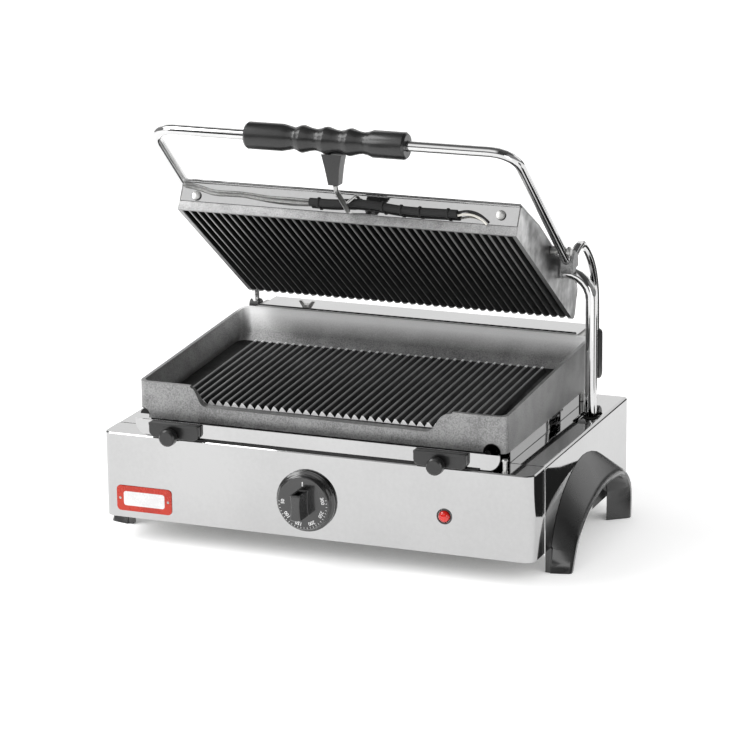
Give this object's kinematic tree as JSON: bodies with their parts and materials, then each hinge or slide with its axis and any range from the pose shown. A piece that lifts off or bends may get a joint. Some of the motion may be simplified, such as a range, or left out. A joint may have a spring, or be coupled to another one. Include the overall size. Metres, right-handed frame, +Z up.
{
  "type": "panini press",
  "caption": "Commercial contact grill: ribbed lower plate in a cast surround on a polished steel base, ribbed upper plate on a rear-hinged lever with a bar handle.",
  "frame": {"origin": "centre of the footprint box on the surface the press stands on, lid open", "axes": "+X to the cook's right, +Y to the back, +Z up"},
  "size_m": [0.4968, 0.356, 0.4282],
  "materials": {
    "mirror_steel": "mirror-polished stainless sheet",
    "chrome": "bright chromed bar and tube",
    "zinc_steel": "plain zinc-plated steel",
    "cast_grey": "grey cast surface, slightly mottled and rubbed bright at the edges",
    "cast_black": "black seasoned cast ribs",
    "black_plastic": "satin black moulded phenolic",
    "cable_black": "black sleeving",
    "lens_red": "clear red faceted lens",
    "ceramic_white": "white heat-proof insulation"
  },
  "bodies": {
    "base": {"front_cover": "mirror_steel", "body_shell": "mirror_steel", "rear_panel": "mirror_steel", "bottom_plate": "zinc_steel", "bridge_foot_left": "black_plastic", "bridge_foot_right": "black_plastic", "thermostat_body": "zinc_steel", "pilot_lamp_lens": "lens_red", "pilot_lamp_body": "black_plastic", "terminal_block": "ceramic_white", "cable_gland": "black_plastic", "splash_guard": "cast_grey", "lower_plate": "cast_black", "lower_element": "zinc_steel", "side_skirt_left": "mirror_steel", "side_skirt_right": "mirror_steel", "middle_post_left": "zinc_steel", "middle_post_right": "zinc_steel", "rear_post_left": "zinc_steel", "rear_post_right": "zinc_steel", "hinge_bracket_left": "zinc_steel", "hinge_bracket_right": "zinc_steel", "rear_shelf": "mirror_steel", "wing_nut": "zinc_steel", "strut_anchor": "zinc_steel"},
    "dial": {"thermostat_knob": "black_plastic"},
    "tray": {"drip_tray": "mirror_steel", "tray_tab_left": "black_plastic", "tray_tab_right": "black_plastic", "tray_knob_left": "black_plastic", "tray_knob_right": "black_plastic"},
    "lever": {"hinge_shaft": "zinc_steel", "hinge_boss_left": "black_plastic", "hinge_boss_right": "black_plastic", "hinge_rod_left": "chrome", "hinge_rod_right": "chrome", "hub_left": "cast_grey", "hub_right": "cast_grey", "handle_bar": "chrome", "grip": "black_plastic", "stay_stub": "black_plastic", "stay_rod": "chrome"},
    "strut": {"balance_strut": "chrome", "balance_spring": "zinc_steel"},
    "strut_guide": {"strut_guide_rod": "zinc_steel"},
    "upper_grill": {"upper_plate": "cast_grey", "upper_cover": "mirror_steel", "upper_front_panel": "mirror_steel", "panel_screw_left": "zinc_steel", "panel_screw_right": "zinc_steel", "pivot_bolt_left": "zinc_steel", "pivot_bolt_right": "zinc_steel", "upper_element": "zinc_steel", "cable_sleeve": "cable_black", "left_lead_upper": "zinc_steel", "left_lead_lower": "zinc_steel", "right_lead_upper": "cable_black", "right_lead_lower": "ceramic_white", "stay_hook": "chrome"}
  },
  "joints": [
    {"name": "lid_hinge", "type": "hinge", "parent": "base", "child": "lever", "pos_m": [0, 0.1547, 0.1629], "axis": [1, 0, 0], "range_deg": [0, 40.8]},
    {"name": "plate_float", "type": "hinge", "parent": "lever", "child": "upper_grill", "pos_m": [0, 0.0445, 0.288], "axis": [1, 0, 0], "range_deg": [-3, 0]},
    {"name": "strut_pivot", "type": "hinge", "parent": "lever", "child": "strut", "pos_m": [0.213, 0.074, 0.259], "axis": [1, 0, 0], "range_deg": [-24.8, 0], "deforming": ["balance_spring"]},
    {"name": "strut_foot", "type": "hinge", "parent": "base", "child": "strut_guide", "pos_m": [0.213, 0.074, 0.033], "axis": [1, 0, 0], "range_deg": [0, 16.4]},
    {"name": "dial_turn", "type": "hinge", "parent": "base", "child": "dial", "pos_m": [-0.0066, -0.147, 0.0646], "axis": [0, 1, 0], "range_deg": [0, 290]},
    {"name": "tray_slide", "type": "slide", "parent": "base", "child": "tray", "axis": [0, -1, 0], "range_m": [0, 0.2]}
  ],
  "couplings": [
    {"joint": "strut_pivot", "follows": "lid_hinge", "ratio": -0.599},
    {"joint": "strut_foot", "follows": "lid_hinge", "ratio": 0.401}
  ]
}
